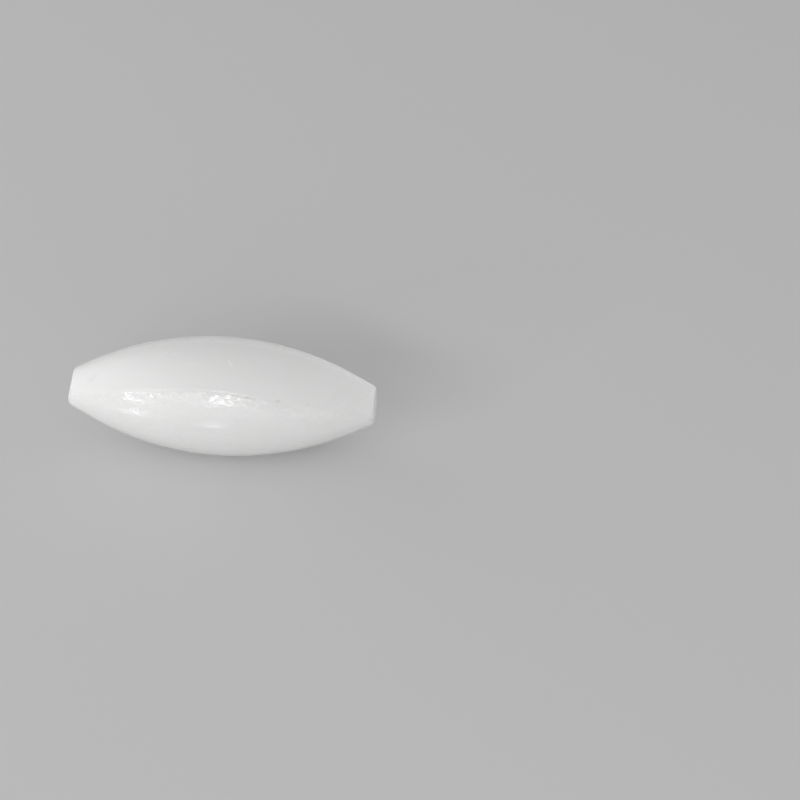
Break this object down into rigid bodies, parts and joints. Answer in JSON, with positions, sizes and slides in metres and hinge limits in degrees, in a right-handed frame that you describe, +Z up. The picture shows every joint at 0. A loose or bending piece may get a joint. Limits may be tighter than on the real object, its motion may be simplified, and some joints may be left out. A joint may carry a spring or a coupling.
{
  "type": "magnetic stir bar",
  "caption": "Olive-shaped magnetic stir bar: a rod magnet sealed in a smooth white plastic jacket, spun on a vessel's floor by a magnetic stirrer to mix a liquid.",
  "frame": {"origin": "on the bar's axis, in the middle of the belly, 24.8 mm from the square end face and 25.2 mm from the middle of the trimmed one", "axes": "+X along the bar's axis, out of the square end; -X out of the trimmed end; +Z up when the bar lies on its belly"},
  "size_m": [0.0505, 0.0192, 0.0192],
  "materials": {
    "ptfe": "waxy satin white PTFE, fine moulded grain",
    "alnico": "cast Alnico with ground ends"
  },
  "bodies": {
    "root": {"ptfe_jacket": "ptfe", "magnet_core": "alnico"}
  },
  "joints": []
}
